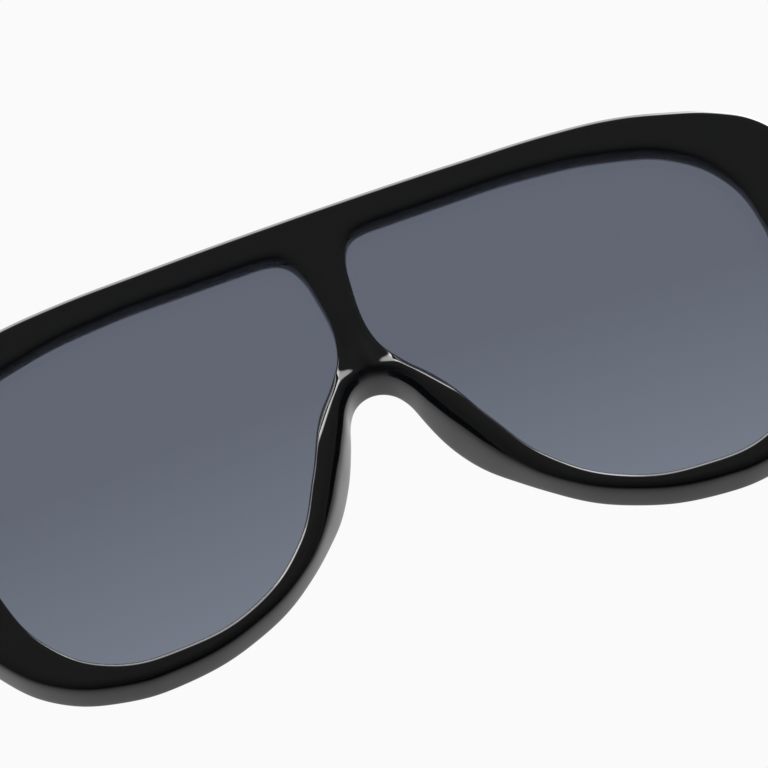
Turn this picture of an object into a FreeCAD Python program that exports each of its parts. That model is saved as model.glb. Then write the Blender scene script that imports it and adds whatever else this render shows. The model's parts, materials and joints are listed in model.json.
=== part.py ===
import FreeCAD, Part
import math
import os
from FreeCAD import Placement, Rotation, Vector

# Oversized sunglasses with a moulded front, two lenses and folding temples.
# X runs across the face, Y from the front to the ears, Z up. All lengths are in millimetres.
# The left temple is the wearer's left, on the +X side. The glasses stand on rims and temple tips.

doc = FreeCAD.newDocument("sunglasses")
sheet = doc.addObject("Spreadsheet::Sheet", "Sizes")

driving_sizes = [
    # front
    ("lens_width", 61.7),
    ("lens_height", 55.65),
    ("lens_gap", 6.3),
    ("brow_width", 5.4),
    ("lower_rim_width", 3.55),
    ("side_rim_width", 9.95),
    ("front_thickness", 5.8),
    ("wrap_radius", 400),
    ("edge_round", 0.7),
    ("opening_round", 0.8),
    ("opening_rear_round", 0.4),
    ("arc_tolerance", 0.05),
    # lenses and the groove that holds them
    ("lens_thickness", 1.8),
    ("lens_setback", 3.0),
    ("groove_depth", 0.9),
    ("lens_clearance", 0.05),
    # nose pads and bridge, moulded on the rear of the nose rim
    ("pad_length", 24),
    ("pad_rise", 3.8),
    ("bridge_length", 20),
    ("bridge_rise", 2.2),
    ("pad_round", 0.8),
    # hinges
    ("hinge_height", 46.5),
    ("barrel_radius", 1.5),
    ("barrel_clearance", 0.1),
    ("knuckle_height", 2.75),
    ("knuckle_gap", 0.1),
    ("leaf_thickness", 1.0),
    ("leaf_clearance", 0.05),
    ("leaf_margin", 0.3),
    # hinge screws
    ("screw_radius", 0.7),
    ("screw_clearance", 0.03),
    ("screw_head_radius", 1.2),
    ("screw_head_height", 0.8),
    ("screw_slot_width", 0.35),
    ("screw_slot_depth", 0.35),
    # flat-headed screws that hold the hinge leaves
    ("leaf_screw_radius", 0.55),
    ("leaf_screw_head_radius", 1.0),
    ("leaf_screw_head_depth", 0.55),
    ("leaf_slot_width", 0.3),
    ("leaf_slot_depth", 0.25),
    ("leaf_screw_length", 3.2),
    ("leaf_screw_spacing", 5.4),
    # temples
    ("temple_inset", 0.5),
    ("temple_thickness", 4.4),
    ("temple_tip_thickness", 3.4),
    ("temple_height", 14),
    ("temple_waist", 9.4),
    ("temple_tip_height", 12),
    ("temple_straight", 92),
    ("temple_slope_angle", 8),
    ("ear_bend_radius", 32),
    ("ear_bend_angle", 40),
    ("tip_length", 23.5),
    ("temple_bow", 2.5),
    ("temple_round", 1.0),
    ("butt_gap", 0.12),
    # core wires inside the temples
    ("wire_height", 2.4),
    ("wire_thickness", 1.0),
    ("wire_clearance", 0.05),
    ("wire_recess", 0.6),
    ("wire_end_margin", 9),
    # length by which every cutting shape runs past what it cuts
    ("overrun", 3),
]

for row, (alias, value) in enumerate(driving_sizes, start=1):
    sheet.set(f"A{row}", alias)
    sheet.set(f"B{row}", str(value))
    sheet.setAlias(f"B{row}", alias)
doc.recompute()


def size(alias):
    return float(sheet.get(alias))


def feature(kind, name, bound=None, place=None, **links):
    made = doc.addObject(kind, name)
    for key, value in links.items():
        setattr(made, key, value)
    for key, rule in (bound or {}).items():
        made.setExpression(key, rule)
    if place is not None:
        made.Placement = place
    return made


def at(across, back, up, rotation=Rotation()):
    return Placement(Vector(across, back, up), rotation)


def drawn(name, shape):
    made = doc.addObject("Part::Feature", name)
    made.Shape = shape
    return made


def cut(name, base, tool):
    return feature("Part::Cut", name, Base=base, Tool=tool)


def common(name, base, tool):
    return feature("Part::Common", name, Base=base, Tool=tool)


def fuse(name, pieces):
    return feature("Part::MultiFuse", name, Shapes=pieces)


def group(name, pieces):
    return feature("Part::Compound", name, Links=pieces)


def extrude(name, base, direction, length_rule):
    return feature("Part::Extrusion", name, {"LengthFwd": length_rule}, Base=base,
                   DirMode="Custom", Dir=direction, Solid=True)


def mirror(name, base):
    return feature("Part::Mirroring", name, Source=base, Normal=Vector(1, 0, 0))


across_axis = Vector(1, 0, 0)
back_axis = Vector(0, 1, 0)
up_axis = Vector(0, 0, 1)
lie_along_front = Rotation(across_axis, 90)
lie_along_across = Rotation(back_axis, 90)

overrun = size("overrun")
half_gap = size("lens_gap") / 2
lens_width = size("lens_width")
lens_height = size("lens_height")
lower_rim = size("lower_rim_width")
half_width = half_gap + lens_width + size("side_rim_width")
full_height = lower_rim + lens_height + size("brow_width")
wrap_radius = size("wrap_radius")
front_thickness = size("front_thickness")


def depth_at(across, inset):
    # how far back the curved front lies, at a distance from the middle and an inset from its face
    return wrap_radius - math.sqrt((wrap_radius - inset) ** 2 - across ** 2)


# Outline of one lens opening, as shares of the lens box, from the bar over the top and round.
lens_shares = [
    (0.000, 0.842), (0.024, 0.949), (0.046, 0.978), (0.087, 0.991), (0.143, 0.993),
    (0.273, 0.996), (0.484, 1.000), (0.708, 0.978), (0.857, 0.929), (0.954, 0.829),
    (0.994, 0.684), (0.970, 0.352), (0.910, 0.162), (0.789, 0.036), (0.614, 0.000),
    (0.427, 0.036), (0.273, 0.160), (0.178, 0.334), (0.106, 0.494), (0.004, 0.661),
]

# Half of the front's outline, as shares of half its width and its height: from the middle
# of the brow round the side and under the lens, then up the flank of the nose to its arch.
flank_foot = (0.187, 0.221)
flank_middle = (0.124, 0.346)
flank_top = (0.084, 0.439)
arch_top = (0.000, 0.538)
outer_shares = [
    (0.000, 0.996), (0.334, 0.998), (0.535, 1.000), (0.664, 0.992), (0.767, 0.970),
    (0.870, 0.936), (0.943, 0.887), (0.987, 0.807), (1.000, 0.696), (0.989, 0.526),
    (0.955, 0.348), (0.896, 0.197), (0.809, 0.080), (0.686, 0.015), (0.556, 0.000),
    (0.401, 0.034), (0.267, 0.118), flank_foot, flank_middle, flank_top,
    (0.062, 0.492), (0.035, 0.526), arch_top,
]


def arcs_through(points, closed):
    # a smooth curve through the points, turned into arcs that run into one another
    curve = Part.BSplineCurve()
    curve.interpolate(Points=points, PeriodicFlag=closed)
    return [arc.toShape() for arc in curve.toBiArcs(size("arc_tolerance"))]


def outline(points):
    return Part.Wire(arcs_through(points, True))


def lens_outline():
    points = []
    for across_share, up_share in lens_shares:
        across = half_gap + across_share * lens_width
        points.append(Vector(across, -overrun, lower_rim + up_share * lens_height))
    return outline(points)


def outer_outline():
    right = [Vector(across * half_width, -overrun, up * full_height) for across, up in outer_shares]
    left = [Vector(-point.x, point.y, point.z) for point in reversed(right[1:-1])]
    return outline(right + left)


def curved_slab(name, face_inset, thickness_rule):
    # a wall of even thickness, curved round the head, whose front lies behind the front's face
    drum_place = at(0, wrap_radius, -overrun)
    tall = "Sizes.lower_rim_width + Sizes.lens_height + Sizes.brow_width + 2 * Sizes.overrun"
    outer_rule = f"Sizes.wrap_radius - ({face_inset})"
    outer = feature("Part::Cylinder", name + "_outer", {"Radius": outer_rule, "Height": tall}, drum_place)
    inner_rule = f"{outer_rule} - ({thickness_rule})"
    inner = feature("Part::Cylinder", name + "_inner", {"Radius": inner_rule, "Height": tall}, drum_place)
    return cut(name, outer, inner)


def softened(kind, name, base, radius_at):
    # round or bevel the edges for which a radius is given
    doc.recompute()
    picked = []
    for index, edge in enumerate(base.Shape.Edges, start=1):
        radius = radius_at(edge)
        if radius:
            picked.append((index, radius, radius))
    return feature(kind, name, Base=base, Edges=picked)


sample_shares = [0, 0.25, 0.5, 0.75, 1]
tolerance = wrap_radius / 100000


def lies_at_inset(edge, inset):
    # whether an edge follows the curved surface that lies at an inset behind the front's face
    for share in sample_shares:
        point = edge.valueAt(edge.FirstParameter + share * (edge.LastParameter - edge.FirstParameter))
        reach = math.hypot(point.x, point.y - wrap_radius)
        if abs(reach - (wrap_radius - inset)) > tolerance:
            return False
    return True


def lies_on_face(edge):
    return lies_at_inset(edge, 0) or lies_at_inset(edge, front_thickness)


# Front: an outline cut from a curved slab, with the ends of its rear face planed flat for the temples
temple_outer = half_width - size("temple_inset")
temple_inner = temple_outer - size("temple_thickness")
pivot_across = temple_inner - size("barrel_clearance") - size("barrel_radius")
land_depth = depth_at(pivot_across - size("barrel_radius"), front_thickness)
pivot_back = land_depth + size("barrel_clearance") + size("barrel_radius")
hinge_height = size("hinge_height")

front_reach = "Sizes.wrap_radius / 2"
front_face = drawn("front_face", Part.Face(outer_outline()))
front_outline = extrude("front_outline", front_face, back_axis, front_reach)
front_slab = curved_slab("front_slab", "0", "Sizes.front_thickness")
front_blank = common("front_blank", front_outline, front_slab)


def outer_bevel_at(edge):
    return size("edge_round") if lies_on_face(edge) else 0


front_bevelled = softened("Part::Chamfer", "front_bevelled", front_blank, outer_bevel_at)
land_cutter = feature("Part::Box", "land_cutter", {
    "Length": "Sizes.lens_gap + 2 * Sizes.lens_width + 2 * Sizes.side_rim_width + 2 * Sizes.overrun",
    "Width": "Sizes.front_thickness + Sizes.overrun",
    "Height": "Sizes.lower_rim_width + Sizes.lens_height + Sizes.brow_width + 2 * Sizes.overrun",
}, at(-half_width - overrun, land_depth, -overrun))
front_planed = cut("front_planed", front_bevelled, land_cutter)

# Lens openings, with a bevelled edge in front and behind
opening_outline = lens_outline()
opening_face = drawn("opening_face", Part.Face(opening_outline))
opening_left = extrude("opening_left", opening_face, back_axis, front_reach)
openings = group("openings", [opening_left, mirror("opening_right", opening_left)])
front_open = cut("front_open", front_planed, openings)


def opening_bevel_at(edge):
    if not lies_on_face(edge):
        return 0
    point = edge.valueAt((edge.FirstParameter + edge.LastParameter) / 2)
    flat_point = Part.Vertex(Vector(abs(point.x), -overrun, point.z))
    if flat_point.distToShape(opening_outline)[0] > tolerance:
        return 0
    return size("opening_round") if lies_at_inset(edge, 0) else size("opening_rear_round")


front_soft = softened("Part::Chamfer", "front_soft", front_open, opening_bevel_at)

# Lenses, and the grooves that they snap into
groove_outline = opening_outline.makeOffset2D(size("groove_depth"))
lens_edge = opening_outline.makeOffset2D(size("groove_depth") - size("lens_clearance"))
lens_left = common(
    "left_lens",
    extrude("lens_block", drawn("lens_face", Part.Face(lens_edge)), back_axis, front_reach),
    curved_slab("lens_slab", "Sizes.lens_setback", "Sizes.lens_thickness"),
)
groove_face = drawn("groove_face", Part.Face(groove_outline))
groove_block = extrude("groove_block", groove_face, back_axis, front_reach)
groove_left = common(
    "groove_left",
    groove_block,
    curved_slab("groove_slab", "Sizes.lens_setback - Sizes.lens_clearance",
                "Sizes.lens_thickness + 2 * Sizes.lens_clearance"),
)
grooves = group("grooves", [groove_left, mirror("groove_right", groove_left)])
front_grooved = cut("front_grooved", front_soft, grooves)

# Nose: the rear of the rim swells back in an arc, along each flank as a pad and over the arch as a bridge
groove_blocks = group("groove_blocks", [groove_block, mirror("groove_block_right", groove_block)])


def swelling(name, share, lean, start, is_bevelled):
    # the line of the swelling leans from upright; its width starts before the middle and runs into the rim
    into_rim = Vector(math.cos(lean), 0, math.sin(lean))
    along = Vector(-math.sin(lean), 0, math.cos(lean))
    across = share[0] * half_width
    middle = Vector(across, depth_at(across, front_thickness), share[1] * full_height)
    length = size(name + "_length")
    rise = size(name + "_rise")
    radius = (length ** 2 / 4 + rise ** 2) / (2 * rise)
    centre = middle + back_axis * (rise - radius)
    width_rule = "2 * Sizes.side_rim_width"
    disc = feature("Part::Cylinder", name + "_disc", {
        "Radius": f"(Sizes.{name}_length ^ 2 / 4 + Sizes.{name}_rise ^ 2) / (2 * Sizes.{name}_rise)",
        "Height": width_rule,
    }, Placement(centre - into_rim * start, Rotation(back_axis, 90 - math.degrees(lean))))
    corner = middle - along * length / 2 - into_rim * start - back_axis * front_thickness / 2
    block = feature("Part::Box", name + "_block", {
        "Length": width_rule,
        "Width": f"Sizes.front_thickness / 2 + Sizes.{name}_rise + Sizes.overrun",
        "Height": f"Sizes.{name}_length",
    }, Placement(corner, Rotation(back_axis, -math.degrees(lean))))
    rim = common(name + "_rim", common(name + "_swell", disc, block), front_outline)
    blank = cut(name + "_blank", rim, groove_blocks)

    def bevel_at(edge):
        # the edges that follow the arc, without those at its two ends
        for place in sample_shares:
            point = edge.valueAt(edge.FirstParameter + place * (edge.LastParameter - edge.FirstParameter))
            from_centre = point - centre
            reach = (from_centre - into_rim * from_centre.dot(into_rim)).Length
            if abs(reach - radius) > tolerance:
                return 0
        is_end = abs(abs(from_centre.dot(along)) - length / 2) < tolerance
        return 0 if is_end and edge.Curve.TypeId == "Part::GeomLine" else size("pad_round")

    return softened("Part::Chamfer", name, blank, bevel_at) if is_bevelled else blank


flank_rise = (flank_top[1] - flank_foot[1]) * full_height
flank_run = (flank_foot[0] - flank_top[0]) * half_width
pad = swelling("pad", flank_middle, math.atan2(flank_run, flank_rise), overrun, True)
bridge = swelling("bridge", arch_top, 0, size("side_rim_width"), False)
front_padded = fuse("front_padded", [front_grooved, bridge, pad, mirror("pad_right", pad)])

# Hinge: two knuckles on the front leaf and one on the temple leaf, on one upright screw
front_levels = [0, 2]
temple_levels = [1]
level_count = len(front_levels) + len(temple_levels)
barrel_radius = size("barrel_radius")
knuckle_step = size("knuckle_height") + size("knuckle_gap")
barrel_height = level_count * knuckle_step - size("knuckle_gap")
barrel_foot = hinge_height - barrel_height / 2
leaf_margin = size("leaf_margin")
leaf_thickness = size("leaf_thickness")
leaf_height_rule = (f"{level_count} * (Sizes.knuckle_height + Sizes.knuckle_gap) - Sizes.knuckle_gap"
                    " + 2 * Sizes.leaf_margin")
leaf_foot = barrel_foot - leaf_margin
screw_strip_rule = "2 * Sizes.leaf_screw_head_radius + 2 * Sizes.leaf_margin"
screw_strip = 2 * size("leaf_screw_head_radius") + 2 * leaf_margin
butt_depth = land_depth + size("butt_gap")


def box(name, length_rule, width_rule, height_rule, place):
    return feature("Part::Box", name, {"Length": length_rule, "Width": width_rule, "Height": height_rule},
                   place)


def knuckles(owner, levels, web_length_rule, web_width_rule, web_across, web_back):
    pieces = []
    for level in levels:
        foot = barrel_foot + level * knuckle_step
        pieces.append(feature("Part::Cylinder", f"{owner}_knuckle_{level}", {
            "Radius": "Sizes.barrel_radius", "Height": "Sizes.knuckle_height",
        }, at(pivot_across, pivot_back, foot)))
        pieces.append(box(f"{owner}_web_{level}", web_length_rule, web_width_rule, "Sizes.knuckle_height",
                          at(web_across, web_back, foot)))
    return pieces


def flat_headed(name, place, grow_rule):
    # the head and the shank of a screw, or the stepped hole round them
    head = feature("Part::Cylinder", name + "_head", {
        "Radius": f"Sizes.leaf_screw_head_radius + {grow_rule}",
        "Height": "Sizes.leaf_screw_head_depth",
    }, place)
    shank = feature("Part::Cylinder", name + "_shank", {
        "Radius": f"Sizes.leaf_screw_radius + {grow_rule}",
        "Height": f"Sizes.leaf_screw_length + {grow_rule}",
    }, place)
    return fuse(name, [head, shank])


def screw_places(across, back, spacing, rotation):
    return [at(across, back, hinge_height + side * spacing / 2, rotation) for side in (-1, 1)]


def screw_holes(name, places):
    return [flat_headed(f"{name}_{number}", place, "Sizes.screw_clearance")
            for number, place in enumerate(places)]


def slotted_screws(name, places):
    screws = []
    for number, place in enumerate(places):
        blank = flat_headed(f"{name}_blank_{number}", place, "0")
        corner = Vector(-size("leaf_screw_head_radius"), -size("leaf_slot_width") / 2, 0)
        slot = box(f"{name}_slot_{number}", "2 * Sizes.leaf_screw_head_radius", "Sizes.leaf_slot_width",
                   "Sizes.leaf_slot_depth", place.multiply(Placement(corner, Rotation())))
        screws.append(cut(f"{name}_{number}", blank, slot))
    return group(name, screws)


hinge_bore = feature("Part::Cylinder", "hinge_bore", {
    "Radius": "Sizes.screw_radius + Sizes.screw_clearance",
    "Height": leaf_height_rule,
}, at(pivot_across, pivot_back, leaf_foot))

# Front leaf: a plate let into the rear of the front, screwed on above and below the barrel
front_leaf_start = pivot_across - barrel_radius
front_leaf_length = "2 * Sizes.barrel_radius"
front_leaf_height = (f"{level_count} * (Sizes.knuckle_height + Sizes.knuckle_gap) - Sizes.knuckle_gap"
                     f" + 2 * ({screw_strip_rule})")
front_leaf_foot = barrel_foot - screw_strip
front_plate = box("front_plate", front_leaf_length, "Sizes.leaf_thickness", front_leaf_height,
                  at(front_leaf_start, land_depth - leaf_thickness, front_leaf_foot))
front_knuckles = knuckles("front", front_levels, "2 * Sizes.barrel_radius",
                          "Sizes.barrel_clearance + Sizes.barrel_radius",
                          pivot_across - barrel_radius, land_depth)
front_screw_places = screw_places(pivot_across, land_depth, barrel_height + screw_strip, lie_along_front)
front_leaf_holes = screw_holes("front_leaf_hole", front_screw_places)
front_leaf_left = cut("left_front_leaf", fuse("front_leaf_blank", [front_plate] + front_knuckles),
                      fuse("front_leaf_bores", [hinge_bore] + front_leaf_holes))
front_screws_left = slotted_screws("left_front_leaf_screws", front_screw_places)

# Temple leaf: a plate let into the inner side of the temple
temple_leaf_start = butt_depth + leaf_margin
temple_leaf_end = pivot_back + barrel_radius + screw_strip
temple_leaf_length = temple_leaf_end - temple_leaf_start
temple_plate = feature("Part::Box", "temple_plate", {
    "Length": "Sizes.leaf_thickness", "Height": leaf_height_rule,
}, at(temple_inner, temple_leaf_start, leaf_foot), Width=temple_leaf_length)
temple_knuckles = knuckles("temple", temple_levels, "Sizes.barrel_clearance + Sizes.barrel_radius",
                           "2 * Sizes.barrel_radius", pivot_across, pivot_back - barrel_radius)
temple_screw_places = screw_places(temple_inner, temple_leaf_end - screw_strip / 2,
                                   size("leaf_screw_spacing"), lie_along_across)
temple_leaf_holes = screw_holes("temple_leaf_hole", temple_screw_places)
temple_leaf_left = cut("left_temple_leaf", fuse("temple_leaf_blank", [temple_plate] + temple_knuckles),
                       fuse("temple_leaf_bores", [hinge_bore] + temple_leaf_holes))
temple_screws_left = slotted_screws("left_temple_leaf_screws", temple_screw_places)

# Hinge screw: a slotted head over the top knuckle
screw_shank = feature("Part::Cylinder", "screw_shank", {
    "Radius": "Sizes.screw_radius",
    "Height": f"{level_count} * (Sizes.knuckle_height + Sizes.knuckle_gap) - Sizes.knuckle_gap",
}, at(pivot_across, pivot_back, barrel_foot))
screw_head = feature("Part::Cylinder", "screw_head", {
    "Radius": "Sizes.screw_head_radius", "Height": "Sizes.screw_head_height",
}, at(pivot_across, pivot_back, barrel_foot + barrel_height))
slot_floor = barrel_foot + barrel_height + size("screw_head_height") - size("screw_slot_depth")
screw_slot = box("screw_slot", "2 * Sizes.screw_head_radius", "Sizes.screw_slot_width",
                 "Sizes.screw_head_height",
                 at(pivot_across - size("screw_head_radius"), pivot_back - size("screw_slot_width") / 2,
                    slot_floor))
hinge_screw_left = cut("left_hinge_screw", fuse("screw_blank", [screw_shank, screw_head]), screw_slot)

# The front with its pockets for the leaves and holes for their screws
front_pocket = box("front_pocket", front_leaf_length + " + 2 * Sizes.leaf_clearance",
                   "Sizes.leaf_thickness + Sizes.leaf_clearance + Sizes.overrun",
                   front_leaf_height + " + 2 * Sizes.leaf_clearance",
                   at(front_leaf_start - size("leaf_clearance"),
                      land_depth - leaf_thickness - size("leaf_clearance"),
                      front_leaf_foot - size("leaf_clearance")))
front_pockets = fuse("front_pockets_left", [front_pocket] + front_leaf_holes)
front_frame = cut("front_frame", front_padded,
                  fuse("front_pockets", [front_pockets, mirror("front_pockets_right", front_pockets)]))

# Temple: a side view and a plan view, each drawn along one bent centre line, that meet in one solid
slope = math.radians(size("temple_slope_angle"))
bend = math.radians(size("ear_bend_angle"))
bend_radius = size("ear_bend_radius")
straight_length = size("temple_straight")
bend_length = bend_radius * bend
tip_start = straight_length + bend_length
line_length = tip_start + size("tip_length")


def centre_line(distance):
    # place and downward angle of the temple's centre line, at a distance from its front end
    run = min(distance, straight_length)
    back = butt_depth + run * math.cos(slope)
    up = hinge_height - run * math.sin(slope)
    angle = slope
    if distance > straight_length:
        angle = slope + min(distance - straight_length, bend_length) / bend_radius
        back += bend_radius * (math.sin(angle) - math.sin(slope))
        up -= bend_radius * (math.cos(slope) - math.cos(angle))
    if distance > tip_start:
        back += (distance - tip_start) * math.cos(angle)
        up -= (distance - tip_start) * math.sin(angle)
    return Vector(0, back, up), angle


def temple_half_height(distance):
    # the height narrows in a smooth curve to the waist and widens again towards the tip
    if distance < straight_length:
        share = (1 - math.cos(math.pi * max(distance, 0) / straight_length)) / 2
        height = size("temple_height") + share * (size("temple_waist") - size("temple_height"))
    else:
        share = (distance - straight_length) / (line_length - straight_length)
        height = size("temple_waist") + share * (size("temple_tip_height") - size("temple_waist"))
    return height / 2


def wire_half_height(distance):
    return size("wire_height") / 2


def channel_half_height(distance):
    return size("wire_height") / 2 + size("wire_clearance")


straight_shares = [0, 0.3, 0.65, 1]
bend_shares = [0.5, 1]
tip_shares = [0.5, 1]


def side_face(start, end, half_height_at):
    # the side view of a strip that follows the centre line and ends in a round
    stations = [start + share * (straight_length - start) for share in straight_shares]
    stations += [straight_length + share * bend_length for share in bend_shares]
    stations += [tip_start + share * (end - tip_start) for share in tip_shares]
    top = []
    bottom = []
    for distance in stations:
        middle, angle = centre_line(distance)
        normal = Vector(0, math.sin(angle), math.cos(angle))
        top.append(middle + normal * half_height_at(distance))
        bottom.append(middle - normal * half_height_at(distance))
    middle, angle = centre_line(end)
    nose = middle + Vector(0, math.cos(angle), -math.sin(angle)) * half_height_at(end)
    end_curve = Part.Arc(top[-1], nose, bottom[-1])
    front_line = Part.LineSegment(bottom[0], top[0])
    edges = arcs_through(top, False) + arcs_through(bottom, False)
    edges += [end_curve.toShape(), front_line.toShape()]
    return Part.Face(Part.Wire(Part.__sortEdges__(edges)))


temple_reach = centre_line(line_length + size("temple_tip_height") / 2)[0].y


def outer_side(back):
    share = (back - butt_depth) / (temple_reach - butt_depth)
    return temple_outer - size("temple_bow") * share ** 2


def wall_at(back):
    share = (back - butt_depth) / (temple_reach - butt_depth)
    return size("temple_thickness") + share * (size("temple_tip_thickness") - size("temple_thickness"))


def plan_face(start, outer_at, inner_at):
    # the plan view between an outer and an inner curve, from the front end to past the tip
    end = temple_reach + overrun
    middle = (start + end) / 2
    outer = [Vector(outer_at(back), back, -full_height) for back in (start, middle, end)]
    inner = [Vector(inner_at(back), back, -full_height) for back in (start, middle, end)]
    edges = [
        Part.Arc(*outer).toShape(),
        Part.LineSegment(outer[-1], inner[-1]).toShape(),
        Part.Arc(*inner).toShape(),
        Part.LineSegment(inner[0], outer[0]).toShape(),
    ]
    return Part.Face(Part.Wire(Part.__sortEdges__(edges)))


def strip(name, side, plan):
    side_block = extrude(name + "_side", drawn(name + "_side_face", side), across_axis,
                         "Sizes.lens_gap + 2 * Sizes.lens_width + 2 * Sizes.side_rim_width")
    plan_block = extrude(name + "_plan", drawn(name + "_plan_face", plan), up_axis,
                         "2 * (Sizes.lower_rim_width + Sizes.lens_height + Sizes.brow_width)")
    return common(name, side_block, plan_block)


def wire_plan(start, half_thickness):
    def outer_at(back):
        return outer_side(back) - wall_at(back) / 2 + half_thickness

    def inner_at(back):
        return outer_at(back) - 2 * half_thickness

    return plan_face(start, outer_at, inner_at)


temple_blank = strip("temple_blank", side_face(-overrun, line_length, temple_half_height),
                     plan_face(butt_depth, outer_side, lambda back: outer_side(back) - wall_at(back)))
temple_round = size("temple_round")


def long_edge_round_at(edge):
    tangent = edge.tangentAt((edge.FirstParameter + edge.LastParameter) / 2)
    runs_across = abs(tangent.dot(across_axis)) > abs(tangent.dot(back_axis))
    is_seam = runs_across and edge.Length < 2 * size("temple_thickness")
    is_butt = edge.BoundBox.YMax < butt_depth + temple_round
    return 0 if is_seam or is_butt else temple_round


temple_soft = softened("Part::Chamfer", "temple_soft", temple_blank, long_edge_round_at)

wire_end = line_length - size("wire_end_margin")
wire_start = butt_depth + size("wire_recess")
core_wire_left = strip("left_core_wire", side_face(-overrun, wire_end, wire_half_height),
                       wire_plan(wire_start, size("wire_thickness") / 2))
channel = strip("wire_channel", side_face(-overrun, wire_end + size("wire_clearance"), channel_half_height),
                wire_plan(butt_depth - overrun, size("wire_thickness") / 2 + size("wire_clearance")))
temple_pocket = feature("Part::Box", "temple_pocket", {
    "Length": "Sizes.leaf_thickness + Sizes.leaf_clearance + Sizes.overrun",
    "Height": leaf_height_rule + " + 2 * Sizes.leaf_clearance",
}, at(temple_inner - overrun, temple_leaf_start - size("leaf_clearance"), leaf_foot - size("leaf_clearance")),
    Width=temple_leaf_length + 2 * size("leaf_clearance"))
temple_left = cut("left_temple", temple_soft,
                  fuse("temple_cuts", [channel, temple_pocket] + temple_leaf_holes))

left_nodes = [lens_left, temple_left, front_leaf_left, temple_leaf_left, hinge_screw_left,
              front_screws_left, temple_screws_left, core_wire_left]
right_nodes = [mirror(node.Name.replace("left", "right"), node) for node in left_nodes]
nodes = [front_frame] + left_nodes + right_nodes
doc.recompute()

faults = [made.Name for made in doc.Objects if "Invalid" in made.State or "Error" in made.State]
faults += [node.Name for node in nodes if node.Shape.isNull() or not node.Shape.isValid()]
if faults:
    raise RuntimeError("these shapes failed: " + ", ".join(faults))

# The origin is moved to the middle of the footprint, on the surface that the glasses stand on
whole = FreeCAD.BoundBox()
for node in nodes:
    whole.add(node.Shape.optimalBoundingBox(False, False))
shift = Vector(0, -whole.Center.y, -whole.ZMin)
for node in nodes:
    node.Label = node.Name
    node.Placement = Placement(shift, Rotation()).multiply(node.Placement)

os.makedirs("parts", exist_ok=True)
for node in nodes:
    node.Shape.exportStep(f"parts/{node.Label}.step")
pivot = Vector(pivot_across, pivot_back, hinge_height) + shift
print("left pivot", [round(value, 3) for value in pivot], "shift", [round(value, 3) for value in shift])
print("size", round(whole.XLength, 2), round(whole.YLength, 2), round(whole.ZLength, 2))
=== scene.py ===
import bpy
import bmesh
import json
import math
from mathutils import Matrix, Vector
from mathutils.kdtree import KDTree


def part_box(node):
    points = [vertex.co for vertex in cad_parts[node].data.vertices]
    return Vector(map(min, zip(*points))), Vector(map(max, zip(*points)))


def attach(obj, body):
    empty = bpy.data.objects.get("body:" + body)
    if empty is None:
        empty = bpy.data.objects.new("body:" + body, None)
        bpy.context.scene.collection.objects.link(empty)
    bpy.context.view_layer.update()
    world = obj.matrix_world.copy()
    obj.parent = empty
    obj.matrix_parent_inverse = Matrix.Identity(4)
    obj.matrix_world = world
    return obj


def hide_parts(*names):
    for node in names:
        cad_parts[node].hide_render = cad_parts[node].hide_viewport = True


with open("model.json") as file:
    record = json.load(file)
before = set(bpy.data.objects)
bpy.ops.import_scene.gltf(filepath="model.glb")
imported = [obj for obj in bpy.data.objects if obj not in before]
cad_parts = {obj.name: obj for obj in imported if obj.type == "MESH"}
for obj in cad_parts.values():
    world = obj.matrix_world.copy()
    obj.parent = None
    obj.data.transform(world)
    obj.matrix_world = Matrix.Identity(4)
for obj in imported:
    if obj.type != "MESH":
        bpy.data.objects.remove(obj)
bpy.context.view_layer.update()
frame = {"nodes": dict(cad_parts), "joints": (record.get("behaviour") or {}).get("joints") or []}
nodes = frame["nodes"]
scene = bpy.context.scene
scene.view_settings.view_transform = "Standard"
mm = 0.001
touch = 0.01 * mm  # lengths below this count as nothing
sides = {"left": 1, "right": -1}  # the wearer's left is at +X
print("frame loaded:", len(nodes), "nodes")


def hexColour(code):  # sRGB hex to linear
    shares = [int(code[start:start + 2], 16) / 255 for start in (1, 3, 5)]
    linear = [share / 12.92 if share <= 0.04045 else ((share + 0.055) / 1.055) ** 2.4 for share in shares]
    return (*linear, 1.0)


def addNode(tree, kind, sockets=None, links=None, **settings):
    node = tree.nodes.new(kind)
    for key, value in settings.items():
        setattr(node, key, value)
    for key, value in (sockets or {}).items():
        node.inputs[key].default_value = value
    for key, source in (links or {}).items():
        tree.links.new(source, node.inputs[key])
    return node


def rangeSockets(start, end):  # values that turn one range of numbers into another
    return {"From Min": start[0], "From Max": start[1], "To Min": end[0], "To Max": end[1]}


def newMaterial(name):
    material = bpy.data.materials.new(name)
    material.use_nodes = True
    tree = material.node_tree
    tree.nodes.clear()
    return material, tree


def patternScale(size):  # noise scale for a pattern of this size, as Object coordinates are in metres
    return 1 / size


def smoothStep(low, high, value):
    share = min(max((value - low) / (high - low), 0), 1)
    return share * share * (3 - 2 * share)


noiseSpan = (0.3, 0.7)  # most of a noise lies between these values
acetateLook = {
    "colour": "#0a0b0d",
    "roughness": (0.035, 0.07),
    "waveSize": 9 * mm,  # long soft waves left by tumbling
    "waveHeight": 0.004 * mm,
    "waveStrength": 0.3,
    "smudgeSize": 2.5 * mm,  # faint smears of polish
    "ior": 1.49,
}


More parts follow.
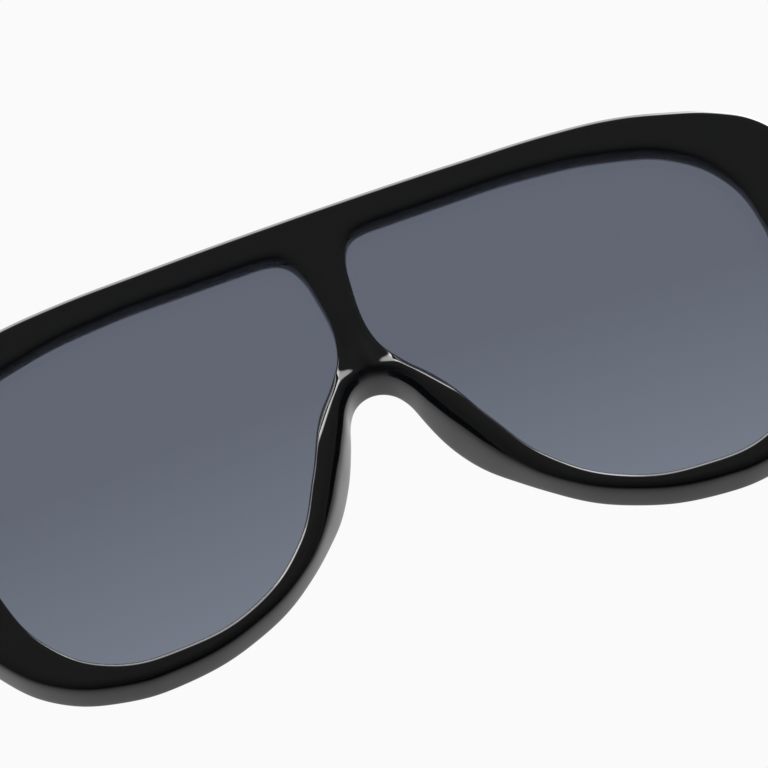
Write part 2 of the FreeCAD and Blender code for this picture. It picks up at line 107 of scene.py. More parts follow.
def polishedAcetate(look):  # tumbled and buffed cellulose acetate: deep black, wet gloss, barely waved
    material, tree = newMaterial("blackPolishedAcetate")
    place = addNode(tree, "ShaderNodeTexCoord").outputs["Object"]
    wave = addNode(tree, "ShaderNodeTexNoise", {"Scale": patternScale(look["waveSize"]), "Detail": 1},
                   {"Vector": place})
    smudge = addNode(tree, "ShaderNodeTexNoise", {"Scale": patternScale(look["smudgeSize"]), "Detail": 3},
                     {"Vector": place})
    bump = addNode(tree, "ShaderNodeBump", {"Strength": look["waveStrength"], "Distance": look["waveHeight"]},
                   {"Height": wave.outputs["Fac"]})
    gloss = addNode(tree, "ShaderNodeMapRange", rangeSockets(noiseSpan, look["roughness"]),
                    {"Value": smudge.outputs["Fac"]})
    shader = addNode(tree, "ShaderNodeBsdfPrincipled",
                     {"Base Color": hexColour(look["colour"]), "IOR": look["ior"]},
                     {"Roughness": gloss.outputs["Result"], "Normal": bump.outputs["Normal"]})
    addNode(tree, "ShaderNodeOutputMaterial", None, {"Surface": shader.outputs["BSDF"]})
    return material


lensLook = {
    "top": "#636875",
    "bottom": "#777d8a",
    "fade": 0.6,  # above this share of the height the tint is darkest
    "roughness": 0.01,
    "ior": 1.3,
}


def tintedLens(look, low, high):  # dyed lens sheet: clear grey, darkest under the brow
    material, tree = newMaterial("greyTintedLensSheet")
    place = addNode(tree, "ShaderNodeTexCoord").outputs["Object"]
    split = addNode(tree, "ShaderNodeSeparateXYZ", None, {"Vector": place})
    fadeEnd = low + look["fade"] * (high - low)
    height = addNode(tree, "ShaderNodeMapRange", rangeSockets((low, fadeEnd), (0, 1)),
                     {"Value": split.outputs["Z"]})
    tint = addNode(tree, "ShaderNodeMixRGB",
                   {"Color1": hexColour(look["bottom"]), "Color2": hexColour(look["top"])},
                   {"Fac": height.outputs["Result"]})
    shader = addNode(tree, "ShaderNodeBsdfPrincipled",
                     {"Roughness": look["roughness"], "IOR": look["ior"], "Transmission Weight": 1.0},
                     {"Base Color": tint.outputs["Color"]})
    addNode(tree, "ShaderNodeOutputMaterial", None, {"Surface": shader.outputs["BSDF"]})
    return material


grainStrength = 0.4
nickelLook = {
    "name": "tumbledNickelSilver",
    "colour": "#c9c3b6",
    "roughness": (0.16, 0.3),
    "grain": 0.35 * mm,
    "grainHeight": 0.01 * mm,
}
steelLook = {
    "name": "turnedStainlessSteel",
    "colour": "#c4c6ca",
    "roughness": (0.12, 0.26),
    "grain": 0.25 * mm,
    "grainHeight": 0.006 * mm,
}
wireLook = {
    "name": "rolledNickelStrip",
    "colour": "#bdb7aa",
    "roughness": (0.25, 0.4),
    "grain": 0.6 * mm,
    "grainHeight": 0.01 * mm,
}


def workedMetal(look):  # bare hinge metal: bright, softly pitted by its finishing, with patchy gloss
    material, tree = newMaterial(look["name"])
    place = addNode(tree, "ShaderNodeTexCoord").outputs["Object"]
    grain = addNode(tree, "ShaderNodeTexNoise", {"Scale": patternScale(look["grain"]), "Detail": 2},
                    {"Vector": place})
    bump = addNode(tree, "ShaderNodeBump", {"Strength": grainStrength, "Distance": look["grainHeight"]},
                   {"Height": grain.outputs["Fac"]})
    gloss = addNode(tree, "ShaderNodeMapRange", rangeSockets(noiseSpan, look["roughness"]),
                    {"Value": grain.outputs["Fac"]})
    shader = addNode(tree, "ShaderNodeBsdfPrincipled",
                     {"Base Color": hexColour(look["colour"]), "Metallic": 1.0},
                     {"Roughness": gloss.outputs["Result"], "Normal": bump.outputs["Normal"]})
    addNode(tree, "ShaderNodeOutputMaterial", None, {"Surface": shader.outputs["BSDF"]})
    return material


acetate = polishedAcetate(acetateLook)
lensLow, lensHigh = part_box("left_lens")
lensSheet = tintedLens(lensLook, lensLow.z, lensHigh.z)
nickel = workedMetal(nickelLook)
steel = workedMetal(steelLook)
wireMetal = workedMetal(wireLook)
print("materials ready")

# the front is drawn flat, with its depth along Y, and bent round the head at the end
frontLow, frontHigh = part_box("front_frame")
wrapRadius = 400 * mm


def bentBack(across, inset):  # the depth of a point once the front is bent
    return frontLow.y + wrapRadius - math.sqrt((wrapRadius - inset) ** 2 - across ** 2)


lensShape = {
    "thickness": 1.8 * mm,
    "setback": 3.0 * mm,  # from the front's face to the lens
    "tuck": 0.85 * mm,  # how far the edge reaches into the groove
    "strip": 3 * mm,  # width of the facets along the bend
    "outlineStep": 6,  # of the traced points, each sixth is used
    "sharpAngle": math.radians(40),
    "outline": [  # shares of the box, from the bar over the top and round
        (0.000, 0.842), (0.024, 0.949), (0.046, 0.978), (0.087, 0.991), (0.143, 0.993),
        (0.273, 0.996), (0.484, 1.000), (0.708, 0.978), (0.857, 0.929), (0.954, 0.829),
        (0.994, 0.684), (0.970, 0.352), (0.910, 0.162), (0.789, 0.036), (0.614, 0.000),
        (0.427, 0.036), (0.273, 0.160), (0.178, 0.334), (0.106, 0.494), (0.043, 0.581),
        (0.004, 0.661),
    ],
}
frontShape = {
    "thickness": 5.8 * mm,
    "edgeRound": 1.1 * mm,
    "openingRound": 1.0 * mm,
    "rearRound": 0.4 * mm,
    "roundSteps": 2,
    "sharpAngle": math.radians(45),
    "flareFrom": 3.0 * mm,  # behind the lens's face the opening widens to the rear
    "flareAbove": 1.1 * mm,
    "flareBeside": 0.4 * mm,
    "spacing": 1.4 * mm,  # of the points round a lens
    "fewestPoints": 4,  # between two ties
    "browToArch": [  # shares of half the width and of the height, from the brow's middle to the arch
        (0.000, 0.996), (0.334, 0.998), (0.535, 1.000), (0.664, 0.992), (0.767, 0.970),
        (0.870, 0.936), (0.943, 0.887), (0.987, 0.807), (1.000, 0.696), (0.989, 0.526),
        (0.955, 0.348), (0.896, 0.197), (0.809, 0.080), (0.686, 0.015), (0.556, 0.000),
        (0.401, 0.034), (0.267, 0.118), (0.187, 0.221), (0.124, 0.346), (0.084, 0.439),
        (0.062, 0.492), (0.035, 0.526), (0.000, 0.538),
    ],
    "barHeights": [0.62, 0.7, 0.78, 0.86],  # shares of the height, up the middle of the bar
    "ties": [  # lens knot to rim knot
        (1, 0), (6, 2), (9, 6), (11, 10), (14, 14), (17, 18), (19, 22), (0, 25),
    ],
    "faceLoops": 3,
    "smoothLevels": 2,
    "leafShow": 0.1 * mm,  # the rear is planed flat for the temples, this far below the hinge leaves
    "landBlend": 0.25 * mm,
}
noseShape = {
    "side": (26 * mm, 18 * mm),  # the shaping fades out between these distances from the middle
    "shoulderTop": (37.5 * mm, 34.5 * mm),  # under the bar the edge beside the lens turns rounder
    "shoulderFoot": (26 * mm, 32 * mm),
    "shoulderDrop": 1.7 * mm,
    "shoulderReach": 2.5 * mm,
    "ledgeTop": (47 * mm, 39 * mm),  # the bar sinks towards its foot, where the arch stands proud of it
    "ledgeFoot": (34.9 * mm, 37 * mm),
    "ledgeSide": (0, 2.6 * mm),
    "ledgeDrop": 1.25 * mm,
    "dropRise": 0.4,  # shoulder and ledge also climb by this share of what they drop back
    "rimTop": (50 * mm, 44 * mm),  # below this and above the foot the edge beside the nose is rounder
    "rimFoot": (6 * mm, 20 * mm),
    "rimDrop": 1.8 * mm,
    "rimReach": 2.3 * mm,
    "pad": (22.3 * mm, 14.5 * mm, 3.8 * mm),  # height of its middle, reach and swell
    "bridge": (34.8 * mm, 13 * mm, 2.2 * mm),
    "seat": (0.6 * mm, 2.4 * mm),  # the swelling sets in between these distances from the lens
    "padLean": 1.0 * mm,  # how far a pad leans towards the middle
}


def cornerHandle(knot, neighbour):  # upright along the middle, level where the line leaves it
    if neighbour.x == 0:
        return knot.lerp(neighbour, 1 / 3)
    return Vector((neighbour.x / 3, 0, knot.z))


def tracedLoop(knots, corners, steps):  # a smooth closed line through given knots, straight at its corners
    curve = bpy.data.curves.new("outline", "CURVE")
    curve.dimensions = "3D"
    curve.resolution_u = steps
    spline = curve.splines.new("BEZIER")
    spline.bezier_points.add(len(knots) - 1)
    spline.use_cyclic_u = True
    for index, (point, knot) in enumerate(zip(spline.bezier_points, knots)):
        point.co = knot
        point.handle_left_type = "FREE" if index in corners else "AUTO"
        point.handle_right_type = "FREE" if index in corners else "AUTO"
    for index in corners:
        point = spline.bezier_points[index]
        point.handle_left = cornerHandle(knots[index], knots[index - 1])
        point.handle_right = cornerHandle(knots[index], knots[(index + 1) % len(knots)])
    holder = bpy.data.objects.new("outline", curve)
    mesh = bpy.data.meshes.new_from_object(holder)
    points = [vertex.co.copy() for vertex in mesh.vertices]
    bpy.data.objects.remove(holder)
    bpy.data.curves.remove(curve)
    bpy.data.meshes.remove(mesh)
    return points


def evenPoints(line, count):  # the start and further points at even steps along a line
    lengths = [0]
    for start, end in zip(line, line[1:]):
        lengths.append(lengths[-1] + (end - start).length)
    picked = []
    index = 0
    for number in range(count):
        goal = lengths[-1] * number / count
        while lengths[index + 1] < goal:
            index += 1
        share = (goal - lengths[index]) / (lengths[index + 1] - lengths[index])
        picked.append(line[index].lerp(line[index + 1], share))
    return picked


def stretch(loop, start, end):  # the part of a closed line between two of its points
    return loop[start:end + 1] if end > start else loop[start:] + loop[:end + 1]


def pairedLoops(shape, inner, outer, steps):  # both lines with as many points, tied at chosen knots
    innerPoints = []
    outerPoints = []
    ties = shape["ties"]
    for (innerStart, outerStart), (innerEnd, outerEnd) in zip(ties, ties[1:] + ties[:1]):
        innerPart = stretch(inner, innerStart * steps, innerEnd * steps)
        outerPart = stretch(outer, outerStart * steps, outerEnd * steps)
        length = sum((end - start).length for start, end in zip(outerPart, outerPart[1:]))
        count = max(shape["fewestPoints"], round(length / shape["spacing"]))
        innerPoints += evenPoints(innerPart, count)
        outerPoints += evenPoints(outerPart, count)
    return innerPoints, outerPoints


def addLoop(bm, points):
    verts = [bm.verts.new(point) for point in points]
    return [bm.edges.new(pair) for pair in zip(verts, verts[1:] + verts[:1])]


def deepen(bm, thickness):  # a flat shape grows to the rear
    grown = bmesh.ops.extrude_face_region(bm, geom=bm.faces[:])
    rear = [item for item in grown["geom"] if isinstance(item, bmesh.types.BMVert)]
    bmesh.ops.translate(bm, verts=rear, vec=(0, thickness, 0))


def roundOff(bm, edges, radius, steps):
    bmesh.ops.bevel(bm, geom=edges, offset=radius, offset_type="OFFSET", segments=steps, profile=0.5,
                    affect="EDGES", material=-1)


def finishPiece(bm, name, material, body, replaced, levels):
    bmesh.ops.recalc_face_normals(bm, faces=bm.faces)
    mesh = bpy.data.meshes.new(name)
    bm.to_mesh(mesh)
    bm.free()
    mesh.shade_smooth()
    piece = bpy.data.objects.new(name, mesh)
    scene.collection.objects.link(piece)
    mesh.materials.append(material)
    if levels:
        subdivision = piece.modifiers.new("smooth", "SUBSURF")
        subdivision.levels = levels
        subdivision.render_levels = levels
    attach(piece, body)
    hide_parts(replaced)
    return piece


knotSteps = 24
lensSize = Vector((lensHigh.x - lensLow.x, 0, lensHigh.z - lensLow.z))
openingLow = Vector((lensLow.x + lensShape["tuck"], 0, lensLow.z + lensShape["tuck"]))
openingSize = lensSize - 2 * lensShape["tuck"] * Vector((1, 0, 1))
lensKnots = [openingLow + Vector((across * openingSize.x, 0, up * openingSize.z))
             for across, up in lensShape["outline"]]
rimKnots = [Vector((across * frontHigh.x, 0, up * frontHigh.z)) for across, up in frontShape["browToArch"]]
archKnot = len(rimKnots) - 1
rimKnots += [Vector((0, 0, up * frontHigh.z)) for up in frontShape["barHeights"]]
barCorners = [0] + list(range(archKnot, len(rimKnots)))
lensLoop = tracedLoop(lensKnots, [], knotSteps)
rimLoop = tracedLoop(rimKnots, barCorners, knotSteps)


def treeOf(points):
    tree = KDTree(len(points))
    for index, point in enumerate(points):
        tree.insert(point, index)
    tree.balance()
    return tree


lensTree = treeOf(lensLoop)
rimTree = treeOf(rimLoop[:archKnot * knotSteps + 1])


def flatDistances(point):  # across the front, to the lens and to the outer edge
    flat = Vector((abs(point.x), 0, point.z))
    return lensTree.find(flat)[2], rimTree.find(flat)[2]


def outwardAt(point):  # away from the lens, square to its outline
    index = lensTree.find(Vector((abs(point.x), 0, point.z)))[1]
    along = lensLoop[(index + 1) % len(lensLoop)] - lensLoop[index - 1]
    return Vector((math.copysign(1, point.x) * -along.z, 0, along.x)).normalized()


def swellAt(up, middle, reach, swell):  # a smooth hump round a height
    return swell * max(0, 1 - ((up - middle) / reach) ** 2) ** 2


def flatFront(shape):  # one half between a lens and the outer edge, deepened and mirrored
    bm = bmesh.new()
    lensPoints, rimPoints = pairedLoops(shape, lensLoop, rimLoop, knotSteps)
    bmesh.ops.bridge_loops(bm, edges=addLoop(bm, lensPoints) + addLoop(bm, rimPoints))
    deepen(bm, shape["thickness"])
    seam = [face for face in bm.faces if all(abs(vert.co.x) < touch for vert in face.verts)]
    bmesh.ops.delete(bm, geom=seam, context="FACES")
    bmesh.ops.mirror(bm, geom=bm.verts[:] + bm.edges[:] + bm.faces[:], axis="X", merge_dist=touch)
    return bm


def flareOpenings(bm, shape):
    walls = [edge for edge in bm.edges if edge.verts[0].co.y != edge.verts[1].co.y]
    onOpening = shape["spacing"] / 4  # nearer than this to the outline is on it
    openingWalls = [edge for edge in walls if flatDistances(edge.verts[0].co)[0] < onOpening]
    bmesh.ops.subdivide_edges(bm, edges=openingWalls, cuts=1)
    for vert in bm.verts:
        if flatDistances(vert.co)[0] < onOpening and vert.co.y > 0:
            if vert.co.y > shape["flareFrom"]:
                outward = outwardAt(vert.co)
                flare = shape["flareAbove"] * max(0, outward.z) + shape["flareBeside"] * abs(outward.x)
                vert.co += outward * flare
            vert.co.y = max(vert.co.y, shape["flareFrom"])


def roundFront(bm, shape):
    bmesh.ops.recalc_face_normals(bm, faces=bm.faces)
    rounds = {"edgeRound": [], "openingRound": [], "rearRound": []}
    for edge in bm.edges:
        if edge.calc_face_angle(0) > shape["sharpAngle"]:
            middle = (edge.verts[0].co + edge.verts[1].co) / 2
            toLens, toRim = flatDistances(middle)
            inFront = "openingRound" if toLens < toRim else "edgeRound"
            rounds[inFront if middle.y < shape["thickness"] / 2 else "rearRound"].append(edge)
    for kind, edges in rounds.items():
        roundOff(bm, edges, shape[kind], shape["roundSteps"])


def splitFaces(bm, shape):  # more points on the face and the rear, for the nose
    flat = set()
    for face in bm.faces:
        depths = [vert.co.y for vert in face.verts]
        if max(depths) - min(depths) < touch:
            flat.add(face)
    inside = [edge for edge in bm.edges if flat.issuperset(edge.link_faces)]
    crossing = [edge for edge in inside if max(abs(vert.co.x) for vert in edge.verts) > touch]
    bmesh.ops.subdivide_edges(bm, edges=crossing, cuts=shape["faceLoops"], use_grid_fill=True)


def shapeNose(bm, thickness, nose):  # rounder edges in front, pads and a bridge behind
    for vert in bm.verts:
        across, back, up = abs(vert.co.x), vert.co.y, vert.co.z
        toLens, toRim = flatDistances(vert.co)
        beside = smoothStep(*nose["side"], across)
        shoulder = beside * smoothStep(*nose["shoulderTop"], up) * smoothStep(*nose["shoulderFoot"], up)
        rim = beside * smoothStep(*nose["rimTop"], up) * smoothStep(*nose["rimFoot"], up)
        drop = shoulder * nose["shoulderDrop"] * max(0, 1 - toLens / nose["shoulderReach"]) ** 2
        ledge = beside * smoothStep(*nose["ledgeTop"], up) * smoothStep(*nose["ledgeFoot"], up)
        drop += ledge * nose["ledgeDrop"] * smoothStep(*nose["ledgeSide"], across)
        climb = nose["dropRise"] * drop
        drop += rim * nose["rimDrop"] * max(0, 1 - toRim / nose["rimReach"]) ** 2
        pad = swellAt(up, *nose["pad"])
        bridge = swellAt(up, *nose["bridge"])
        blended = (pad ** 3 + bridge ** 3) ** (1 / 3)
        swell = beside * smoothStep(*nose["seat"], toLens) * blended
        rearShare = back / thickness
        vert.co.y += (1 - rearShare) * drop + rearShare * swell
        vert.co.z += (1 - rearShare) * climb
        lean = nose["padLean"] * pad / nose["pad"][2] * smoothStep(0, nose["rimReach"], across)
        lean *= rearShare * beside * smoothStep(nose["rimReach"], 0, toRim)
        vert.co.x -= math.copysign(lean, vert.co.x)


def bendFront(bm, shape):  # round the head, inside the solid's box, and planed where the temples fold
    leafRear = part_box("left_front_leaf_screws")[1].y  # the screws' heads end level with the leaf
    for vert in bm.verts:
        vert.co.x = min(max(vert.co.x, -frontHigh.x), frontHigh.x)
        vert.co.z = min(max(vert.co.z, frontLow.z), frontHigh.z)
        vert.co.y = bentBack(vert.co.x, vert.co.y)
        room = (leafRear - shape["leafShow"] - vert.co.y) / shape["landBlend"]
        vert.co.y += shape["landBlend"] * (room - math.log1p(math.exp(room)))


def frontFrame(shape, nose):
    bm = flatFront(shape)
    flareOpenings(bm, shape)
    roundFront(bm, shape)
    splitFaces(bm, shape)
    shapeNose(bm, shape["thickness"], nose)
    bendFront(bm, shape)
    finishPiece(bm, "frontFrame", acetate, "front", "front_frame", shape["smoothLevels"])


frontFrame(frontShape, noseShape)
print("front frame built")


def lensShell(shape, side):
    bm = bmesh.new()
    points = []
    for spot in lensLoop[::shape["outlineStep"]]:
        across = lensLow.x + (spot.x - openingLow.x) / openingSize.x * lensSize.x
        up = lensLow.z + (spot.z - openingLow.z) / openingSize.z * lensSize.z
        points.append(Vector((across, 0, up)))
    bmesh.ops.contextual_create(bm, geom=addLoop(bm, points))
    cuts = int(lensSize.x / shape["strip"])
    for cut in range(1, cuts):
        bmesh.ops.bisect_plane(bm, geom=bm.verts[:] + bm.edges[:] + bm.faces[:], dist=0,
                               plane_co=(lensLow.x + cut * shape["strip"], 0, 0), plane_no=(1, 0, 0))
    deepen(bm, shape["thickness"])
    for vert in bm.verts:
        vert.co.y = bentBack(vert.co.x, shape["setback"] + vert.co.y)
        vert.co.x *= sides[side]
    piece = finishPiece(bm, side + "Lens", lensSheet, "front", side + "_lens", 0)
    piece.data.set_sharp_from_angle(angle=shape["sharpAngle"])


for side in sides:
    lensShell(lensShape, side)
print("lenses built")

hingePoint = Vector(frame["joints"][0]["pos_m"])
templeLow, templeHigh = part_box("left_temple")
templeShape = {
    "thickness": (4.4 * mm, 3.4 * mm),  # at the hinge and at the tip
    "heights": (14 * mm, 9.4 * mm, 12 * mm),  # at the hinge, at the waist and at the tip
    "straight": 92 * mm,
    "slope": math.radians(8),
    "bendRadius": 32 * mm,
    "bend": math.radians(40),
    "tip": 23.5 * mm,
    "bow": 2.5 * mm,
    "edgeRound": 1.3 * mm,
    "roundSteps": 3,
    "sharpAngle": math.radians(60),
    "buttDepth": 2 * mm,  # the edges round the butt lie within this and stay crisp
    "straightSteps": 10,
    "bendSteps": 6,
    "tipSteps": 3,
    "endTurns": (25, 50, 70, 84),  # degrees round the end
    "smoothLevels": 1,
}


def templeStation(shape, distance):  # middle of the temple at a distance from the hinge, and its slope there
    run = min(distance, shape["straight"])
    back = templeLow.y + run * math.cos(shape["slope"])
    up = hingePoint.z - run * math.sin(shape["slope"])
    bendLength = shape["bendRadius"] * shape["bend"]
    angle = shape["slope"] + min(max(distance - shape["straight"], 0), bendLength) / shape["bendRadius"]
    back += shape["bendRadius"] * (math.sin(angle) - math.sin(shape["slope"]))
    up -= shape["bendRadius"] * (math.cos(shape["slope"]) - math.cos(angle))
    rest = max(distance - shape["straight"] - bendLength, 0)
    return back + rest * math.cos(angle), up - rest * math.sin(angle), angle


def templeHeight(shape, distance, length):
    hinge, waist, tip = shape["heights"]
    if distance < shape["straight"]:
        share = (1 - math.cos(math.pi * distance / shape["straight"])) / 2
        return hinge + share * (waist - hinge)
    share = min((distance - shape["straight"]) / (length - shape["straight"]), 1)
    return waist + share * (tip - waist)


def templeMatrix(shape, distance, height):
    back, up, angle = templeStation(shape, distance)
    share = (back - templeLow.y) / (templeHigh.y - templeLow.y)
    thick = shape["thickness"][0] + share * (shape["thickness"][1] - shape["thickness"][0])
    outer = templeHigh.x - shape["bow"] * share ** 2
    place = Matrix.Translation((outer - thick / 2, back, up))
    turn = Matrix.Rotation(-angle, 4, "X")
    return place @ turn @ Matrix.Diagonal((thick, 1, height, 1))


def evenStops(start, length, count):  # along a stretch, without its end
    return [start + length * step / count for step in range(count)]


def templePlaces(shape):  # where each section of the temple stands, from the hinge to the round end
    bendLength = shape["bendRadius"] * shape["bend"]
    tipStart = shape["straight"] + bendLength
    length = tipStart + shape["tip"]
    stops = evenStops(0, shape["straight"], shape["straightSteps"])
    stops += evenStops(shape["straight"], bendLength, shape["bendSteps"])
    stops += evenStops(tipStart, shape["tip"], shape["tipSteps"])
    stops.append(length)
    places = [templeMatrix(shape, stop, templeHeight(shape, stop, length)) for stop in stops]
    tipHeight = shape["heights"][2]
    for turn in shape["endTurns"]:
        reach = length + tipHeight / 2 * math.sin(math.radians(turn))
        places.append(templeMatrix(shape, reach, tipHeight * math.cos(math.radians(turn))))
    return places


def temple(shape, side):
    bm = bmesh.new()
    places = templePlaces(shape)
    bmesh.ops.create_grid(bm, x_segments=1, y_segments=1, size=0.5)  # a unit square, stood upright
    bmesh.ops.rotate(bm, verts=bm.verts, matrix=Matrix.Rotation(math.radians(90), 3, "X"))
    bmesh.ops.transform(bm, verts=bm.verts, matrix=places[0])
    face = bm.faces[:][0]
    for before, after in zip(places, places[1:]):
        grown = bmesh.ops.extrude_face_region(bm, geom=[face])
        if before is not places[0]:
            bmesh.ops.delete(bm, geom=[face], context="FACES_ONLY")
        verts = [item for item in grown["geom"] if isinstance(item, bmesh.types.BMVert)]
        face = [item for item in grown["geom"] if isinstance(item, bmesh.types.BMFace)][0]
        bmesh.ops.transform(bm, verts=verts, matrix=after @ before.inverted())
    bmesh.ops.recalc_face_normals(bm, faces=bm.faces)
    sharp = [edge for edge in bm.edges if edge.calc_face_angle(0) > shape["sharpAngle"]]
    buttEnd = templeLow.y + shape["buttDepth"]
    behindButt = [edge for edge in sharp if any(vert.co.y > buttEnd for vert in edge.verts)]
    roundOff(bm, behindButt, shape["edgeRound"], shape["roundSteps"])
    for vert in bm.verts:
        vert.co.y = max(vert.co.y, templeLow.y)
        vert.co.x *= sides[side]
    return finishPiece(bm, side + "Temple", acetate, side + "_temple_arm", side + "_temple",
                       shape["smoothLevels"])


for side in sides:
    temple(templeShape, side).visible_glossy = False  # the gloss of the nose shows the room, not the temples
    nodes[f"{side}_core_wire"].visible_glossy = False
print("temples built")

hingeMetals = {
    "front_leaf": nickel,
    "temple_leaf": nickel,
    "hinge_screw": steel,
    "front_leaf_screws": steel,
    "temple_leaf_screws": steel,
    "core_wire": wireMetal,
}
for side in sides:
    for kind, metal in hingeMetals.items():
        nodes[f"{side}_{kind}"].data.materials.clear()
        nodes[f"{side}_{kind}"].data.materials.append(metal)
print("hinges dressed")

cameraShape = {
    "pitch": math.radians(28),  # looking up from below
    "yaw": math.radians(8.5),
    "roll": math.radians(23.37),
    "distance": 1.5,
    "focalPixels": 10095,
    "imagePixels": 768,
    "tiePixel": (338.6, 300),  # where the middle of the bar's face lies in the picture
    "tieHeight": 47.95 * mm,
    "sensor": 36,
    "nearest": 0.01,  # what is closer isn't drawn
}


def addCamera(shape):
    pitch, yaw, roll = shape["pitch"], shape["yaw"], shape["roll"]
    ahead = Vector((math.sin(yaw) * math.cos(pitch), math.cos(yaw) * math.cos(pitch), math.sin(pitch)))
    level = Vector((math.cos(yaw), -math.sin(yaw), 0))
    rise = level.cross(ahead)
    right = level * math.cos(roll) - rise * math.sin(roll)
    up = level * math.sin(roll) + rise * math.cos(roll)
    perPixel = shape["distance"] / shape["focalPixels"]
    tie = Vector((0, frontLow.y, shape["tieHeight"]))
    tieLeft, tieAbove = [shape["imagePixels"] / 2 - pixel for pixel in shape["tiePixel"]]
    middle = tie + right * tieLeft * perPixel - up * tieAbove * perPixel
    camera = bpy.data.objects.new("camera", bpy.data.cameras.new("camera"))
    camera.data.sensor_width = shape["sensor"]
    camera.data.lens = shape["sensor"] * shape["focalPixels"] / shape["imagePixels"]
    camera.data.clip_start = shape["nearest"]
    turn = Matrix((right, up, -ahead)).transposed().to_4x4()
    camera.matrix_world = Matrix.Translation(middle - ahead * shape["distance"]) @ turn
    scene.collection.objects.link(camera)
    scene.camera = camera


addCamera(cameraShape)
print("camera placed")

studio = {
    "paper": "#fafafa",
    "light": "#ffffff",
    "floorSize": 4,
    "floorFade": (0.2, 0.5),  # from here on the floor shows plain white to the camera
    "floorDrop": 0.2 * mm,
    "frontLight": (0.02, 0.23),  # the room in front stays dim, so that the front's face stays dark
    "frontHeights": (-0.9, 0.47),  # ranges from here on are parts of a unit direction
    "backLight": 0.6,
    "backDepths": (-0.1, 0.6),
    "softbox": (5, 0.4),  # the wide light overhead, as the gloss shows it: straight above and further back
    "softboxDepths": (0.05, 0.45),
    "softboxTowards": (0, 0.33, 0.943),
    "softboxEdge": (0.66, 0.76),
    "softboxShift": 0.065,
    "wings": 9,  # brighter stretches on both sides of the softbox
    "wingStart": (0.25, 0.35),
    "wingEnd": (0.53, 0.6),
}


def addFloor(look):  # pale paper, seen from above only and not in the gloss
    bm = bmesh.new()
    bmesh.ops.create_grid(bm, x_segments=1, y_segments=1, size=look["floorSize"] / 2)
    mesh = bpy.data.meshes.new("paperFloor")
    bm.to_mesh(mesh)
    bm.free()
    mesh.transform(Matrix.Translation((0, 0, -look["floorDrop"])))
    floor = bpy.data.objects.new("paperFloor", mesh)
    scene.collection.objects.link(floor)
    material, tree = newMaterial("paleStudioPaper")
    paper = addNode(tree, "ShaderNodeBsdfDiffuse", {"Color": hexColour(look["paper"])})
    white = addNode(tree, "ShaderNodeEmission", {"Color": hexColour(look["paper"]), "Strength": 1})
    clear = addNode(tree, "ShaderNodeBsdfTransparent")
    path = addNode(tree, "ShaderNodeLightPath")
    under = addNode(tree, "ShaderNodeNewGeometry").outputs["Backfacing"]
    place = addNode(tree, "ShaderNodeTexCoord").outputs["Object"]
    away = addNode(tree, "ShaderNodeVectorMath", None, {0: place}, operation="LENGTH")
    fade = addNode(tree, "ShaderNodeMapRange", rangeSockets(look["floorFade"], (0, 1)),
                   {"Value": away.outputs["Value"]})
    seen = addNode(tree, "ShaderNodeMath", None,
                   {0: path.outputs["Is Camera Ray"], 1: path.outputs["Is Transmission Ray"]},
                   operation="MAXIMUM")
    faded = addNode(tree, "ShaderNodeMath", None, {0: fade.outputs["Result"], 1: seen.outputs["Value"]},
                    operation="MULTIPLY")
    hidden = addNode(tree, "ShaderNodeMath", None, {0: path.outputs["Is Glossy Ray"], 1: under},
                     operation="MAXIMUM")
    floorShade = addNode(tree, "ShaderNodeMixShader", None,
                         {"Fac": faded.outputs["Value"], 1: paper.outputs["BSDF"],
                          2: white.outputs["Emission"]})
    mixed = addNode(tree, "ShaderNodeMixShader", None,
                    {"Fac": hidden.outputs["Value"], 1: floorShade.outputs["Shader"],
                     2: clear.outputs["BSDF"]})
    addNode(tree, "ShaderNodeOutputMaterial", None, {"Surface": mixed.outputs["Shader"]})
    mesh.materials.append(material)


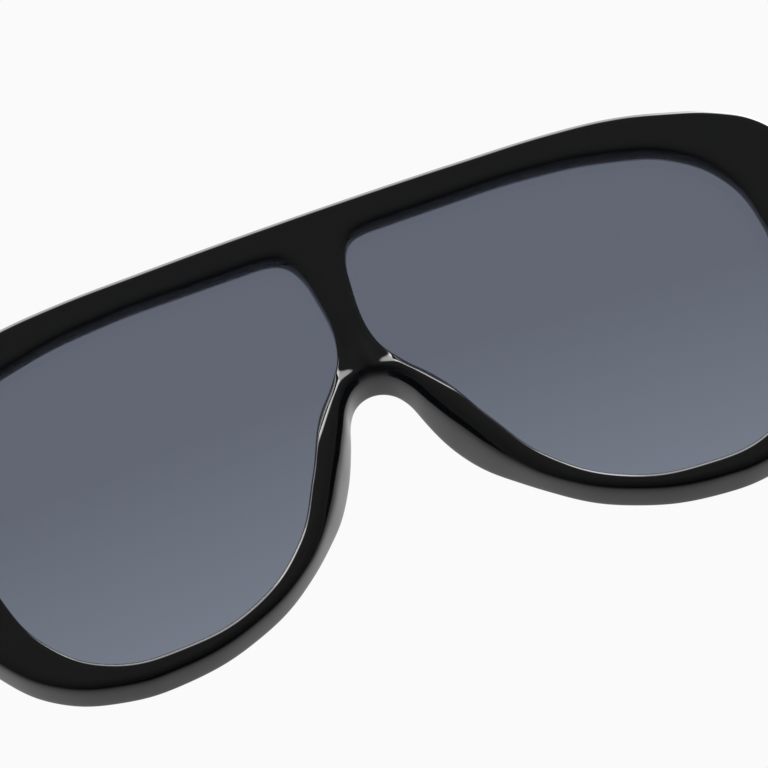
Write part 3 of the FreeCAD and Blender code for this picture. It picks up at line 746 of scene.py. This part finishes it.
def addRoom(look):  # white to the camera and through the lenses, dim in front for what mirrors it
    world = bpy.data.worlds.new("studio")
    world.use_nodes = True
    scene.world = world
    tree = world.node_tree
    tree.nodes.clear()
    path = addNode(tree, "ShaderNodeLightPath")
    seen = addNode(tree, "ShaderNodeMath", None,
                   {0: path.outputs["Is Camera Ray"], 1: path.outputs["Is Transmission Ray"]},
                   operation="MAXIMUM")
    direction = addNode(tree, "ShaderNodeTexCoord").outputs["Generated"]
    split = addNode(tree, "ShaderNodeSeparateXYZ", None, {"Vector": direction})
    front = addNode(tree, "ShaderNodeMapRange", rangeSockets(look["frontHeights"], look["frontLight"]),
                    {"Value": split.outputs["Z"]})
    back = addNode(tree, "ShaderNodeMapRange", rangeSockets(look["backDepths"], (0, look["backLight"])),
                   {"Value": split.outputs["Y"]})
    around = addNode(tree, "ShaderNodeMath", None, {0: front.outputs["Result"], 1: back.outputs["Result"]},
                     operation="ADD")
    softbox = addNode(tree, "ShaderNodeMapRange", rangeSockets(look["softboxDepths"], look["softbox"]),
                      {"Value": split.outputs["Y"]})
    shifted = addNode(tree, "ShaderNodeMath", {1: look["softboxShift"]}, {0: split.outputs["X"]},
                      operation="SUBTRACT")
    sideways = addNode(tree, "ShaderNodeMath", None, {0: shifted.outputs["Value"]}, operation="ABSOLUTE")
    wingStart = addNode(tree, "ShaderNodeMapRange", rangeSockets(look["wingStart"], (0, look["wings"])),
                        {"Value": sideways.outputs["Value"]})
    wingEnd = addNode(tree, "ShaderNodeMapRange", rangeSockets(look["wingEnd"], (1, 0)),
                      {"Value": sideways.outputs["Value"]})
    wings = addNode(tree, "ShaderNodeMath", None,
                    {0: wingStart.outputs["Result"], 1: wingEnd.outputs["Result"]}, operation="MULTIPLY")
    brightest = addNode(tree, "ShaderNodeMath", None,
                        {0: softbox.outputs["Result"], 1: wings.outputs["Value"]}, operation="MAXIMUM")
    facing = addNode(tree, "ShaderNodeVectorMath", {1: look["softboxTowards"]}, {0: direction},
                     operation="DOT_PRODUCT")
    inBox = addNode(tree, "ShaderNodeMapRange", rangeSockets(look["softboxEdge"], (0, 1)),
                    {"Value": facing.outputs["Value"]})
    overhead = addNode(tree, "ShaderNodeMath", None,
                       {0: brightest.outputs["Value"], 1: inBox.outputs["Result"]}, operation="MULTIPLY")
    glint = addNode(tree, "ShaderNodeMath", None,
                    {0: overhead.outputs["Value"], 1: path.outputs["Is Glossy Ray"]}, operation="MULTIPLY")
    strength = addNode(tree, "ShaderNodeMath", None, {0: around.outputs["Value"], 1: glint.outputs["Value"]},
                       operation="ADD")
    room = addNode(tree, "ShaderNodeBackground", {"Color": hexColour(look["light"])},
                   {"Strength": strength.outputs["Value"]})
    white = addNode(tree, "ShaderNodeBackground", {"Color": hexColour(look["paper"]), "Strength": 1})
    mixed = addNode(tree, "ShaderNodeMixShader", None,
                    {"Fac": seen.outputs["Value"], 1: room.outputs["Background"],
                     2: white.outputs["Background"]})
    addNode(tree, "ShaderNodeOutputWorld", None, {"Surface": mixed.outputs["Shader"]})


lampShape = {
    "size": (0.7, 0.12),
    "place": (0.0, -0.05, 0.8),
    "aim": (0, -0.04, 0.03),
    "watts": 6,
}


def addLamp(name, shape):
    light = bpy.data.lights.new(name, "AREA")
    light.shape = "RECTANGLE"
    light.size, light.size_y = shape["size"]
    light.energy = shape["watts"]
    lamp = bpy.data.objects.new(name, light)
    away = Vector(shape["place"]) - Vector(shape["aim"])
    lamp.rotation_euler = away.to_track_quat("Z", "Y").to_euler()
    lamp.location = shape["place"]
    lamp.visible_glossy = False  # the room's softbox stands for it in the gloss
    scene.collection.objects.link(lamp)


addFloor(studio)
addRoom(studio)
addLamp("overheadStrip", lampShape)
print("studio ready")
